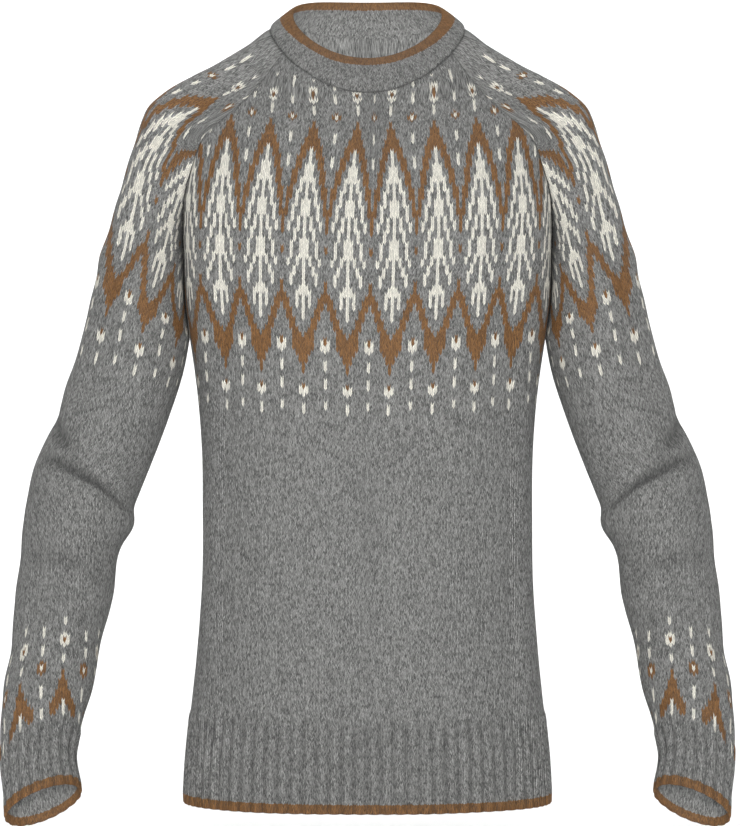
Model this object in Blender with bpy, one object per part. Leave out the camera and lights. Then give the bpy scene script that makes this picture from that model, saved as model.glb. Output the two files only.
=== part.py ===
# A knitted crew-neck sweater with raglan sleeves, filled out as if worn.
# Metres, +Z up. The wearer faces -Y, and the wearer's left sleeve is on +X.
# The origin is between the shoulders, where the neck of the garment rests.
# Every panel is a wall of cloth: rows of points across it, worked out from
# the tables below, are carried along it, and a second set of rows lies
# inside the first by the thickness of the cloth.

import math
from collections import namedtuple

import bmesh
import bpy
import numpy as np

MM = 0.001

# Cloth, in millimetres
WALL = 2.2
BAND_WALL = 3.6
GAP = 0.3
RIB_HEIGHT = 1.1
RIB_PITCH = 12.1
CUFF_RIB_PITCH = 11.6
HEM_BAND = 84.0
CUFF_BAND = 66.0
BAND_FADE = 7.0

# How square the body's cross-section is: 0.552 would be an ellipse
SQUARENESS = 0.676

# Columns of points over a half panel or a half sleeve, and at its neck end
BODY_COLUMNS = 11
BODY_NECK_COLUMNS = 7
SLEEVE_COLUMNS = 10
SLEEVE_NECK_COLUMNS = 4
INNER_SHARE = 0.7

# Rows of the yoke, counted in sections above the underarm
YOKE_ROWS = [0, 0.5, 1, 1.5, 2, 2.5, 3, 4, 5, 6, 7, 8, 9, 10, 11, 11.5, 12]
THINNING_FROM = 4.0

# Distances between rows below the underarm
BODY_STEP = 34.0
SLEEVE_STEP = 27.0
ELBOW_STEP = 9.0
ELBOW_START = 186.0
ELBOW_END = 318.0

# Samples along an arc, and the small steps that feel a surface's direction
ARC_SAMPLES = 65
FEEL_RUN = 1.0
FEEL_SHARE = 0.004

# Cut edges of neighbours share one way in where their faces turn less than
# this, and a deep seam's gap is pulled a little outwards
SHARED_EDGE = 0.5
OUTWARD_PULL = 0.3
NECK_EDGE_RISE = 34.0
NECK_EDGE_SIDE_RISE = 17.5

# Neck band's section: share of the way up, and share of the wall inwards
BAND_PROFILE = [
    (0.0, 0.0),
    (0.3, -0.35),
    (0.65, -0.35),
    (0.92, 0.0),
    (1.0, 0.45),
    (0.93, 0.95),
    (0.5, 1.05),
    (0.0, 1.0),
]

# Neck band. The ring is an ellipse seen from above, raised towards the back
NECK_HALF_WIDTH = 90.0
NECK_DEPTH = 88.0
NECK_CENTRE_Y = -10.0
NECK_FRONT_Z = -46.0
NECK_BACK_LIFT = 66.0
NECK_SIDE_LIFT = 31.0
FRONT_SEAM_ANGLE = 60.0
BACK_SEAM_ANGLE = 125.0
TOP_HALF_WIDTH = 78.0
TOP_DEPTH = 57.5
TOP_CENTRE_Y = -7.5
TOP_FRONT_Z = -15.0
TOP_BACK_LIFT = 65.0
TOP_SIDE_LIFT = 15.0

# Body below the underarm, a row for each section from the hem up
Section = namedtuple("Section", "z half_width side_y front_y back_y")
BODY = [
    Section(-699.0, 170.6, 2.0, -122.0, 112.0),
    Section(-660.0, 168.6, 2.0, -122.0, 110.0),
    Section(-616.0, 164.4, 2.0, -119.0, 107.0),
    Section(-564.0, 159.0, 2.0, -114.0, 101.0),
    Section(-504.0, 154.4, 2.0, -109.0, 97.0),
    Section(-430.0, 153.0, 3.0, -110.0, 96.0),
    Section(-370.0, 154.0, 3.0, -118.0, 102.0),
    Section(-325.0, 157.6, 4.0, -125.0, 108.0),
    Section(-296.0, 161.2, 4.0, -129.0, 112.5),
]

# Yoke, a row for each section from the underarm up to the neck seam.
# Middle of the front and back, with how far each stays level beside it
Middle = namedtuple("Middle", "front_y front_z front_level back_y back_z back_level")
MIDDLES = [
    Middle(-131.5, -268.0, 111.9, 116.5, -268.0, 111.9),
    Middle(-133.0, -237.0, 113.0, 119.5, -237.0, 113.0),
    Middle(-132.0, -200.0, 112.0, 120.0, -199.0, 112.0),
    Middle(-129.5, -167.0, 112.0, 119.0, -165.0, 108.0),
    Middle(-126.0, -140.0, 110.0, 117.0, -135.0, 103.0),
    Middle(-122.0, -117.5, 104.0, 114.0, -108.0, 97.0),
    Middle(-119.0, -104.5, 96.0, 112.0, -93.0, 92.0),
    Middle(-116.4, -94.0, 89.0, 110.0, -80.0, 87.0),
    Middle(-114.0, -85.5, 82.0, 108.0, -68.0, 82.0),
    Middle(-111.8, -78.5, 75.0, 106.0, -58.0, 77.0),
    Middle(-108.2, -69.0, 62.0, 101.0, -40.0, 66.0),
    Middle(-104.6, -60.5, 50.0, 95.0, -20.0, 54.0),
]

# Raglan seams, with how the panel (px, py, pz) and the sleeve (sx, sy, sz)
# leave each point of the seam
Seam = namedtuple("Seam", "x y z px py pz sx sy sz")
FRONT_RAGLAN = [
    Seam(165.5, 5.0, -268.0, 0.0, -92.0, 0.0, 0.0, -79.0, 0.0),
    Seam(168.6, -11.0, -237.0, 0.0, -82.0, 0.0, 8.0, -71.0, 0.0),
    Seam(169.3, -32.0, -200.0, 0.0, -68.0, 0.0, 20.0, -60.0, 0.0),
    Seam(169.6, -52.0, -166.2, -8.0, -52.0, 0.0, 34.0, -38.0, 0.0),
    Seam(167.3, -66.0, -137.2, -17.0, -41.0, 0.0, 42.0, -16.0, 0.0),
    Seam(160.5, -74.0, -112.5, -24.0, -32.0, 0.0, 42.0, 2.0, 0.0),
    Seam(155.9, -77.0, -98.6, -30.0, -27.0, 0.0, 38.0, 12.0, 1.0),
    Seam(150.4, -79.0, -86.9, -33.0, -23.0, -1.0, 34.0, 19.0, 2.0),
    Seam(140.6, -79.0, -76.5, -34.0, -20.0, -2.0, 32.0, 22.0, 4.0),
    Seam(132.6, -78.0, -69.0, -34.0, -19.0, -3.0, 30.0, 22.0, 6.0),
    Seam(117.5, -74.0, -56.0, -31.0, -20.0, -6.0, 24.0, 22.0, 9.0),
    Seam(103.4, -68.0, -42.0, -26.0, -21.0, -9.0, 18.0, 20.0, 10.0),
]
BACK_RAGLAN = [
    Seam(165.5, 5.0, -268.0, 0.0, 76.0, 0.0, 0.0, 79.0, 0.0),
    Seam(168.6, 21.0, -237.0, 0.0, 66.0, 0.0, 8.0, 71.0, 0.0),
    Seam(168.5, 42.0, -200.0, 0.0, 53.0, 0.0, 20.0, 56.0, 0.0),
    Seam(166.0, 62.0, -166.0, -6.0, 42.0, 0.0, 32.0, 34.0, 0.0),
    Seam(160.0, 78.0, -136.0, -14.0, 30.0, 0.0, 38.0, 12.0, 0.0),
    Seam(152.0, 87.0, -110.0, -22.0, 22.0, 0.0, 38.0, -4.0, 0.0),
    Seam(147.0, 90.0, -95.0, -27.0, 19.0, 0.0, 35.0, -11.0, 0.0),
    Seam(141.0, 91.0, -82.0, -30.0, 16.0, 0.0, 32.0, -15.0, 0.0),
    Seam(134.0, 90.0, -70.0, -31.0, 15.0, 0.0, 30.0, -17.0, 0.0),
    Seam(127.0, 87.0, -59.0, -31.0, 15.0, 0.0, 29.0, -19.0, -1.0),
    Seam(113.0, 78.0, -36.0, -30.0, 17.0, 0.0, 24.0, -20.0, -2.0),
    Seam(98.0, 66.0, -12.0, -26.0, 20.0, 0.0, 18.0, -18.0, -2.0),
]

# Top line of the sleeve, from the outer side of the upper arm to the neck,
# with how far the cloth runs level across it to the front and to the back
Ridge = namedtuple("Ridge", "x y z front_level back_level")
RIDGE = [
    Ridge(259.6, 4.0, -241.0, 79.0, 79.0),
    Ridge(253.6, 4.0, -213.0, 77.0, 77.0),
    Ridge(246.4, 3.0, -186.0, 73.0, 74.0),
    Ridge(237.4, 2.0, -158.1, 66.0, 68.0),
    Ridge(229.2, 1.0, -128.4, 60.0, 62.0),
    Ridge(221.8, 0.0, -102.3, 54.0, 57.0),
    Ridge(216.2, -1.0, -87.4, 50.0, 54.0),
    Ridge(210.6, -2.0, -71.6, 46.0, 50.0),
    Ridge(202.3, -3.0, -52.6, 42.0, 46.0),
    Ridge(190.2, -4.0, -40.5, 38.0, 42.0),
    Ridge(162.3, -6.0, -24.6, 30.0, 34.0),
    Ridge(135.3, -8.0, -11.0, 24.0, 28.0),
]

# Sleeve below the underarm, a ring for each row from the cuff's edge up.
# A ring rolls in the picture's plane and pitches forward, in degrees
Ring = namedtuple("Ring", "x y z half_width half_depth roll pitch")
SLEEVE = [
    Ring(291.2, -140.0, -683.0, 37.0, 31.0, 29.6, 36.0),
    Ring(296.0, -123.0, -656.7, 34.4, 31.0, 24.9, 34.0),
    Ring(295.8, -105.0, -630.1, 37.0, 33.0, 16.2, 32.0),
    Ring(290.9, -79.0, -588.3, 41.1, 38.0, 8.9, 30.0),
    Ring(285.3, -54.0, -545.9, 40.8, 43.0, 2.0, 28.0),
    Ring(279.1, -32.0, -502.7, 44.6, 47.0, -4.0, 25.0),
    Ring(273.0, -13.0, -459.0, 46.8, 50.0, -8.0, 21.0),
    Ring(267.4, -8.0, -444.3, 51.1, 51.0, -7.0, 18.0),
    Ring(266.8, -3.0, -429.6, 49.6, 52.0, -8.0, 16.0),
    Ring(261.0, 5.0, -400.0, 50.1, 54.0, -14.0, 11.0),
    Ring(248.8, 9.0, -370.2, 49.4, 55.0, -20.0, 7.0),
    Ring(232.3, 10.0, -325.5, 49.8, 57.0, -17.5, 4.0),
    Ring(218.2, 8.0, -281.9, 49.6, 58.5, -16.5, 2.0),
]

# Largest folds of the sleeve at the elbow. Each runs round the sleeve from
# one share of its girth to another, and rises or falls as it goes; the share
# is 0 at the underarm, 0.5 on the outer side and grows round the front
Fold = namedtuple("Fold", "start end start_run end_run depth width")
FOLDS = [
    Fold(0.06, 0.44, 240.0, 262.0, 5.0, 7.0),
    Fold(0.04, 0.40, 258.0, 282.0, -3.0, 11.0),
    Fold(0.22, 0.50, 292.0, 306.0, 3.0, 12.0),
    Fold(0.02, 0.26, 196.0, 206.0, 2.5, 9.0),
]

SHARP_ANGLE = 50.0
HEATHER_GREY = (0.215, 0.215, 0.205, 1.0)
KNIT_ROUGHNESS = 0.95


def through(knots, rows, at):
    """Smooth curve through table rows, read at the given places."""
    knots = np.asarray(knots, float)
    rows = np.asarray(rows, float)
    step = np.diff(knots)
    slope = np.diff(rows, axis=0) / step[:, None]
    bend = np.empty_like(rows)
    bend[0] = slope[0]
    bend[-1] = slope[-1]
    before, after = step[:-1, None], step[1:, None]
    bend[1:-1] = (slope[1:] * before + slope[:-1] * after) / (before + after)
    i = np.clip(np.searchsorted(knots, at, side="right") - 1, 0, len(step) - 1)
    t = ((at - knots[i]) / step[i])[..., None]
    h = step[i][..., None]
    return (
        rows[i] * (1 + 2 * t) * (1 - t) ** 2
        + bend[i] * h * t * (1 - t) ** 2
        + rows[i + 1] * t * t * (3 - 2 * t)
        + bend[i + 1] * h * t * t * (t - 1)
    )


def bezier(a, b, c, d, t):
    t = t[:, None]
    return a * (1 - t) ** 3 + 3 * b * t * (1 - t) ** 2 + 3 * c * t * t * (1 - t) + d * t**3


def even_share(arcs, share):
    """Points of joined arcs, at even shares of their whole length."""
    dense = np.linspace(0.0, 1.0, ARC_SAMPLES)
    line = np.vstack([bezier(*arc, dense)[(i > 0) :] for i, arc in enumerate(arcs)])
    run = np.concatenate([[0.0], np.cumsum(np.linalg.norm(np.diff(line, axis=0), axis=1))])
    where = np.asarray(share) * run[-1]
    return np.stack([np.interp(where, run, line[:, k]) for k in range(3)], axis=1)


def unit(v):
    return v / np.maximum(np.linalg.norm(v, axis=-1, keepdims=True), 1e-9)


def seam_line(table):
    return np.array([(row.x, row.y, row.z) for row in table])


def yoke_knots():
    """Run of each yoke section above the underarm, the mean of three lines."""
    ends = [neck_ring(angle)[0] for angle in (FRONT_SEAM_ANGLE, 90.0, BACK_SEAM_ANGLE)]
    lines = [
        np.vstack([seam_line(table), end])
        for table, end in zip((FRONT_RAGLAN, RIDGE, BACK_RAGLAN), ends)
    ]
    steps = [np.linalg.norm(np.diff(line, axis=0), axis=1) for line in lines]
    return np.concatenate([[0.0], np.cumsum(np.mean(steps, axis=0))])


def neck_ring(angle):
    """Neck seam at an angle from the front, and how fast it moves there."""
    a = math.radians(angle)
    point = np.array([
        NECK_HALF_WIDTH * math.sin(a),
        NECK_CENTRE_Y - NECK_DEPTH * math.cos(a),
        NECK_FRONT_Z + NECK_BACK_LIFT * (1 - math.cos(a)) / 2 + NECK_SIDE_LIFT * math.sin(a) ** 2,
    ])
    speed = np.array([
        NECK_HALF_WIDTH * math.cos(a),
        NECK_DEPTH * math.sin(a),
        NECK_BACK_LIFT * math.sin(a) / 2 + NECK_SIDE_LIFT * math.sin(2 * a),
    ])
    return point, speed


def neck_arc(start, end):
    """Bezier arc of the neck seam between two angles."""
    a, a_speed = neck_ring(start)
    b, b_speed = neck_ring(end)
    third = math.radians(end - start) / 3
    return np.array([a, a + a_speed * third, b - b_speed * third, b])


def seam_split(seam):
    """Small move from the seam's line to the sleeve's own edge."""
    panel = -np.array([seam.px, seam.py, seam.pz])
    sleeve = np.array([seam.sx, seam.sy, seam.sz])
    way = unit(unit(panel) + unit(sleeve) + np.array([OUTWARD_PULL, 0.0, 0.0]))
    return way * GAP / 2


def panel_rows(front):
    """Control points of a half panel, from the middle to its edge, by row."""
    sign = -1.0 if front else 1.0
    side_gap = np.array([0.0, sign * GAP / 2, 0.0])
    rows = []
    for s in BODY:
        deep = s.front_y if front else s.back_y
        middle = np.array([0.0, deep, s.z])
        edge = np.array([s.half_width, s.side_y, s.z]) + side_gap
        level = np.array([s.half_width * SQUARENESS, 0.0, 0.0])
        turn = np.array([0.0, (deep - s.side_y) * SQUARENESS, 0.0])
        rows.append([middle, middle + level, edge + turn, edge])
    for m, seam in zip(MIDDLES, FRONT_RAGLAN if front else BACK_RAGLAN):
        middle = np.array([0.0, m.front_y, m.front_z] if front else [0.0, m.back_y, m.back_z])
        level = np.array([m.front_level if front else m.back_level, 0.0, 0.0])
        edge = np.array([seam.x, seam.y, seam.z]) - seam_split(seam)
        if seam is FRONT_RAGLAN[0] or seam is BACK_RAGLAN[0]:
            edge = edge + side_gap
        rows.append([middle, middle + level, edge + np.array([seam.px, seam.py, seam.pz]), edge])
    arc = neck_arc(0.0, FRONT_SEAM_ANGLE) if front else neck_arc(180.0, BACK_SEAM_ANGLE)
    split = neck_split(front)
    rows.append([arc[0], arc[1], arc[2] - split, arc[3] - split])
    return np.array(rows)


def neck_split(front):
    """Move along the neck seam from the raglan's end to the sleeve's edge."""
    speed = neck_ring(FRONT_SEAM_ANGLE if front else BACK_SEAM_ANGLE)[1]
    return unit(speed) * (GAP / 2 if front else -GAP / 2)


def sleeve_rows():
    """Control points round the sleeve by row: front arc, then back arc."""
    rows = []
    for r in SLEEVE:
        roll, pitch = math.radians(r.roll), math.radians(r.pitch)
        inward = np.array([-math.cos(roll), 0.0, math.sin(roll)]) * r.half_width
        back = np.array([
            -math.sin(roll) * math.sin(pitch), math.cos(pitch), -math.cos(roll) * math.sin(pitch)
        ]) * r.half_depth * 4 / 3
        centre = np.array([r.x, r.y, r.z])
        inner, outer = centre + inward, centre - inward
        rows.append([inner, inner - back, outer - back, outer, outer + back, inner + back, inner])
    for i, (f, t, b) in enumerate(zip(FRONT_RAGLAN, RIDGE, BACK_RAGLAN)):
        front = np.array([f.x, f.y, f.z]) + seam_split(f)
        rear = np.array([b.x, b.y, b.z]) + seam_split(b)
        if i == 0:
            rear = front
        top = np.array([t.x, t.y, t.z])
        rows.append([
            front,
            front + np.array([f.sx, f.sy, f.sz]),
            top - np.array([0.0, t.front_level, 0.0]),
            top,
            top + np.array([0.0, t.back_level, 0.0]),
            rear + np.array([b.sx, b.sy, b.sz]),
            rear,
        ])
    front_arc = neck_arc(FRONT_SEAM_ANGLE, 90.0)
    back_arc = neck_arc(90.0, BACK_SEAM_ANGLE)
    front_arc[:2] += neck_split(True)
    back_arc[2:] += neck_split(False)
    rows.append([*front_arc, *back_arc[1:]])
    return np.array(rows)


class Surface:
    """Control rows below the underarm and in the yoke, carried along a run."""

    def __init__(self, rows, line, mirrored, outward):
        low = rows[: len(rows) - len(YOKE_KNOTS) + 1]
        step = np.linalg.norm(np.diff(low[:, line].mean(axis=1), axis=0), axis=1)
        self.low_knots = np.concatenate([[0.0], np.cumsum(step)])
        self.low = low.reshape(len(low), -1)
        self.yoke = rows[len(low) - 1 :].reshape(len(YOKE_KNOTS), -1)
        self.underarm = self.low_knots[-1]
        self.length = self.underarm + YOKE_KNOTS[-1]
        self.mirrored = mirrored
        self.outward = outward
        self.folds = []

    def arcs(self, run):
        if run <= self.underarm:
            row = through(self.low_knots, self.low, np.array([run]))
        else:
            row = through(YOKE_KNOTS, self.yoke, np.array([run - self.underarm]))
        points = row[0].reshape(-1, 3)
        if self.mirrored:
            return [points[::-1] * [-1.0, 1.0, 1.0], points]
        return [points[:4], points[3:]]

    def bare(self, run, share):
        return even_share(self.arcs(run), share)

    def normals(self, run, share):
        """Outward directions, from small steps along and across."""
        low, high = max(run - FEEL_RUN, 0.0), min(run + FEEL_RUN, self.length)
        along = self.bare(high, share) - self.bare(low, share)
        left = self.bare(run, np.maximum(share - FEEL_SHARE, 0.0))
        right = self.bare(run, np.minimum(share + FEEL_SHARE, 1.0))
        return unit(np.cross(right - left, along)) * self.outward

    def fold_height(self, run, share):
        """Sum of the folds: soft troughs or ridges that fade at both ends."""
        total = np.zeros(len(share))
        for f in self.folds:
            t = (share - f.start) / (f.end - f.start)
            middle = f.start_run + (f.end_run - f.start_run) * t
            fade = np.sin(np.pi * np.clip(t, 0.0, 1.0))
            total -= f.depth * fade * np.exp(-(((run - middle) / f.width) ** 2))
        return total

    def row(self, run, share, height=0.0):
        """Points of the cloth's outer face, moved out by a height."""
        out = self.fold_height(run, share) + height
        return self.bare(run, share) + self.normals(run, share) * out[:, None]

    def inner_row(self, run, share, ways=None):
        """Points of the inner face; ways says which way the cut edges go in."""
        way = self.normals(run, share)
        for end, direction in (ways or {}).items():
            way[end] = direction
        out = self.fold_height(run, share) - WALL
        return self.bare(run, share) + way * out[:, None]


class Shell:
    """A closed wall made of outer rows and inner rows of points."""

    def __init__(self):
        self.points = []
        self.faces = []

    def add(self, row, closed=False):
        start = len(self.points)
        keep = row[:-1] if closed else row
        self.points.extend(keep)
        index = list(range(start, start + len(keep)))
        return index + [start] if closed else index

    def zip(self, a, a_share, b, b_share):
        """Triangles between two rows, walking whichever is behind."""
        i = j = 0
        while i < len(a) - 1 or j < len(b) - 1:
            a_done, b_done = i == len(a) - 1, j == len(b) - 1
            if b_done or (not a_done and sum(a_share[i : i + 2]) <= sum(b_share[j : j + 2])):
                self.faces.append((a[i], a[i + 1], b[j]))
                i += 1
            else:
                self.faces.append((a[i], b[j + 1], b[j]))
                j += 1

    def build(self, name, side=1.0):
        mesh = bpy.data.meshes.new(name)
        points = np.array(self.points) * [side * MM, MM, MM]
        faces = [face for face in self.faces if len(set(face)) == 3]
        mesh.from_pydata(points.tolist(), [], faces)
        work = bmesh.new()
        work.from_mesh(mesh)
        bmesh.ops.recalc_face_normals(work, faces=work.faces)
        work.to_mesh(mesh)
        work.free()
        mesh.shade_smooth()
        mesh.set_sharp_from_angle(angle=math.radians(SHARP_ANGLE))
        mesh.materials.append(knit_material(name + "_knit"))
        bpy.context.scene.collection.objects.link(bpy.data.objects.new(name, mesh))


def knit_material(name):
    material = bpy.data.materials.new(name)
    material.use_nodes = True
    shader = material.node_tree.nodes["Principled BSDF"]
    shader.inputs["Base Color"].default_value = HEATHER_GREY
    shader.inputs["Roughness"].default_value = KNIT_ROUGHNESS
    shader.inputs["Metallic"].default_value = 0.0
    return material


def ribs(count):
    """Shares across a row with four points a rib, and their heights."""
    share = (np.arange(4 * count) + 0.5) / (4 * count)
    height = np.tile([0.0, RIB_HEIGHT, RIB_HEIGHT, 0.0], count)
    return np.concatenate([[0.0], share, [1.0]]), np.concatenate([[0.0], height, [0.0]])


def even(count):
    return np.linspace(0.0, 1.0, count + 1)


def yoke_runs():
    """Runs of the yoke's rows above the underarm, closer in its fold."""
    places = np.array(YOKE_ROWS, float)
    return np.interp(places, np.arange(len(YOKE_KNOTS)), YOKE_KNOTS)


def columns(place, low, high):
    """Columns of a yoke row, fewer towards the neck, always even."""
    share = max(place - THINNING_FROM, 0.0) / (len(YOKE_KNOTS) - 1 - THINNING_FROM)
    return 2 * round(low + (high - low) * share)


def neck_way(angle):
    """The way the cut edges go in along the neck seam."""
    a = math.radians(angle)
    rise = math.radians(NECK_EDGE_RISE + NECK_EDGE_SIDE_RISE * math.sin(a) ** 2)
    return np.array([
        math.cos(rise) * math.sin(a), -math.cos(rise) * math.cos(a), math.sin(rise)
    ])


def neck_angles(points):
    """Angles from the front of points on the neck seam."""
    sideways = points[:, 0] / NECK_HALF_WIDTH
    forwards = (NECK_CENTRE_Y - points[:, 1]) / NECK_DEPTH
    return np.degrees(np.arctan2(sideways, forwards))


def neck_ways(points):
    return {i: neck_way(a) for i, a in enumerate(neck_angles(points))}


def raglan_way(panel, sleeve, above, end):
    """Shared way in for both edges of a raglan seam, or none in a deep fold."""
    a = panel.normals(panel.underarm + above, np.array([1.0]))[0]
    b = sleeve.normals(sleeve.underarm + above, np.array([float(end)]))[0]
    return unit(a + b) if a @ b > SHARED_EDGE else None


def closed_wall(surface, low_runs, inner_runs, columns_low, columns_neck, band, seam_ways, tube):
    """Outer and inner rows of a panel or sleeve, joined round their edges."""
    shell = Shell()
    rib_share, rib_height = ribs(band.count)
    outer, inner = [], []
    for run in (0.0, band.height - BAND_FADE):
        outer.append((run, rib_share, shell.add(surface.row(run, rib_share, rib_height), tube)))
    for run in low_runs:
        share = even(2 * columns_low)
        outer.append((run, share, shell.add(surface.row(run, share), tube)))
    for run in inner_runs:
        share = even(2 * round(columns_low * INNER_SHARE))
        inner.append((run, share, shell.add(surface.inner_row(run, share), tube)))
    for place, above in zip(YOKE_ROWS, yoke_runs()):
        run = surface.underarm + above
        closed = tube and place == 0
        count = columns(place, columns_low, columns_neck)
        share = even(count)
        outer.append((run, share, shell.add(surface.row(run, share), closed)))
        if place == YOKE_ROWS[-1]:
            ways = neck_ways(surface.bare(run, share))
        else:
            share = even(2 * round(count * INNER_SHARE / 2))
            ways = {} if closed else seam_ways(above)
        inner.append((run, share, shell.add(surface.inner_row(run, share, ways), closed)))
    for rows in (outer, inner):
        for (_, a_share, a), (_, b_share, b) in zip(rows, rows[1:]):
            shell.zip(a, a_share, b, b_share)
    for end in (0, -1):
        shell.zip(outer[end][2], outer[end][1], inner[end][2], inner[end][1])
    if tube:
        outer = outer[len(low_runs) + 2 :]
        inner = inner[len(inner_runs) :]
    for end in (0, -1):
        a, b = [row[2][end] for row in outer], [row[2][end] for row in inner]
        shell.zip(a, [row[0] for row in outer], b, [row[0] for row in inner])
    return shell


def spaced(start, end, step):
    """Runs from start to just short of end, evenly, near the given step."""
    count = max(round((end - start) / step), 1)
    return np.linspace(start, end, count + 1)[:-1]


Band = namedtuple("Band", "height count")


def make_panel(name, surface, sleeve, sleeve_end):
    def seam_ways(above):
        way = raglan_way(surface, sleeve, above, sleeve_end)
        return {} if way is None else {-1: way, 0: way * [-1.0, 1.0, 1.0]}

    hem = np.linalg.norm(np.diff(surface.bare(0.0, even(200)), axis=0), axis=1).sum()
    band = Band(HEM_BAND, round(hem / RIB_PITCH))
    low_runs = spaced(HEM_BAND, surface.underarm, BODY_STEP)
    inner_runs = spaced(0.0, surface.underarm, BODY_STEP)
    shell = closed_wall(
        surface, low_runs, inner_runs, BODY_COLUMNS, BODY_NECK_COLUMNS, band, seam_ways, tube=False
    )
    shell.build(name)


def make_sleeve(name, sleeve, front, back, side):
    def seam_ways(above):
        ways = {0: raglan_way(front, sleeve, above, 0), -1: raglan_way(back, sleeve, above, 1)}
        return {end: way for end, way in ways.items() if way is not None}

    cuff = np.linalg.norm(np.diff(sleeve.bare(0.0, even(100)), axis=0), axis=1).sum()
    band = Band(CUFF_BAND, round(cuff / CUFF_RIB_PITCH))
    low_runs = np.concatenate([
        spaced(CUFF_BAND, ELBOW_START, SLEEVE_STEP),
        spaced(ELBOW_START, ELBOW_END, ELBOW_STEP),
        spaced(ELBOW_END, sleeve.underarm, SLEEVE_STEP),
    ])
    inner_runs = spaced(0.0, sleeve.underarm, SLEEVE_STEP)
    shell = closed_wall(
        sleeve, low_runs, inner_runs, SLEEVE_COLUMNS, SLEEVE_NECK_COLUMNS, band, seam_ways, tube=True
    )
    shell.build(name, side)


def band_top(angle):
    """Top edge of the neck band at an angle from the front."""
    a = np.radians(angle)
    return np.stack([
        TOP_HALF_WIDTH * np.sin(a),
        TOP_CENTRE_Y - TOP_DEPTH * np.cos(a),
        TOP_FRONT_Z + TOP_BACK_LIFT * (1 - np.cos(a)) / 2 + TOP_SIDE_LIFT * np.sin(a) ** 2,
    ], axis=-1)


def make_collar(name):
    """Folded band: its profile is carried round the neck seam's own points."""
    half = [
        even_share([neck_arc(0.0, FRONT_SEAM_ANGLE)], even(BODY_NECK_COLUMNS)),
        even_share(
            [neck_arc(FRONT_SEAM_ANGLE, 90.0), neck_arc(90.0, BACK_SEAM_ANGLE)],
            even(2 * SLEEVE_NECK_COLUMNS),
        )[1:],
        even_share([neck_arc(BACK_SEAM_ANGLE, 180.0)], even(BODY_NECK_COLUMNS))[1:],
    ]
    right = np.vstack(half)
    base = np.vstack([right, (right * [-1.0, 1.0, 1.0])[-2::-1]])
    angle = neck_angles(base)
    top = band_top(angle)
    rise = top - base
    base = base + unit(rise) * GAP
    round_way = np.gradient(base, axis=0)
    round_way[[0, -1]] = base[1] - base[-2]
    out = unit(np.cross(round_way, rise))
    seam_out = np.array([neck_way(a) for a in angle])
    shell = Shell()
    share = even(len(base) - 1)
    rows = []
    for up, inwards in BAND_PROFILE:
        way = seam_out if up == 0.0 else out
        points = base + (top - base) * up - way * inwards * BAND_WALL
        rows.append(shell.add(points, closed=True))
    for a, b in zip(rows, rows[1:] + rows[:1]):
        shell.zip(a, share, b, share)
    shell.build(name)


for old in list(bpy.data.objects):
    bpy.data.objects.remove(old)

YOKE_KNOTS = yoke_knots()
front = Surface(panel_rows(front=True), [3], mirrored=True, outward=1.0)
back = Surface(panel_rows(front=False), [3], mirrored=True, outward=-1.0)
sleeve = Surface(sleeve_rows(), [0, 3], mirrored=False, outward=1.0)
sleeve.folds = FOLDS
make_panel("front", front, sleeve, sleeve_end=0)
make_panel("back", back, sleeve, sleeve_end=1)
make_sleeve("sleeve_left", sleeve, front, back, side=1.0)
make_sleeve("sleeve_right", sleeve, front, back, side=-1.0)
make_collar("collar")
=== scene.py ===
import math
import bmesh
import bpy
import numpy as np
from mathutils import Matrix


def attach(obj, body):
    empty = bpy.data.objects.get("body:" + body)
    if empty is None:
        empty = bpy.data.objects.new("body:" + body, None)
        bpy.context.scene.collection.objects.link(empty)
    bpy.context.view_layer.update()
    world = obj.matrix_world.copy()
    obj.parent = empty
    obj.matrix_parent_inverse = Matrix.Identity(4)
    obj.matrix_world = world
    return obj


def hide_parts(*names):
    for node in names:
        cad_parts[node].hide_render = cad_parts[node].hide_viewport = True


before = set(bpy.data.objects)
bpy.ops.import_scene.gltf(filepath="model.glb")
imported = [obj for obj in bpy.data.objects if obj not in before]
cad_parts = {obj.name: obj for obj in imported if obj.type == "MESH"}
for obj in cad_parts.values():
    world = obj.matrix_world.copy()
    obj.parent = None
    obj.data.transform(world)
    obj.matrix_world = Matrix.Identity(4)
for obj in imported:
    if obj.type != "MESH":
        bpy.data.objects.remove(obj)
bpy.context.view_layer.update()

# Lengths are in millimetres and angles in degrees until a mesh is made.
# The wearer faces -Y and the wearer's left sleeve is on +X.
mm = 0.001
cloth = {
    "wall": 2.2, "bandWall": 3.6, "rowHeight": 2.3, "gap": 0.3,
    "squareness": 0.676, "outwardPull": 0.3,  # of a panel's section, and of its seams
}
neck = {
    "halfWidth": 90.0, "depth": 88.0, "centreY": -10.0, "frontZ": -46.0, "backLift": 66.0, "sideLift": 31.0,
    "frontSeam": 60.0, "backSeam": 125.0,  # angles from the front
}
neckTop = {
    "halfWidth": 70.0, "depth": 57.5, "centreY": -7.5, "frontZ": -11.5, "backLift": 61.5, "sideLift": 15.0,
}
repeat = 14.0  # stitches in a repeat of the pattern
offChart = {"inside": 2000.0, "band": 3000.0}  # rows added where no chart is to show

# Body below the underarm: height, half width, y of the side, of the front and of the back
bodySections = np.array([
    (-699, 170.6, 2, -122, 112),
    (-660, 168.6, 2, -122, 110),
    (-616, 164.4, 2, -119, 107),
    (-564, 159, 2, -114, 101),
    (-504, 154.4, 2, -109, 97),
    (-430, 153, 3, -110, 96),
    (-370, 154, 3, -118, 102),
    (-325, 157.6, 4, -125, 108),
    (-296, 161.2, 4, -129, 112.5),
])

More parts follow.
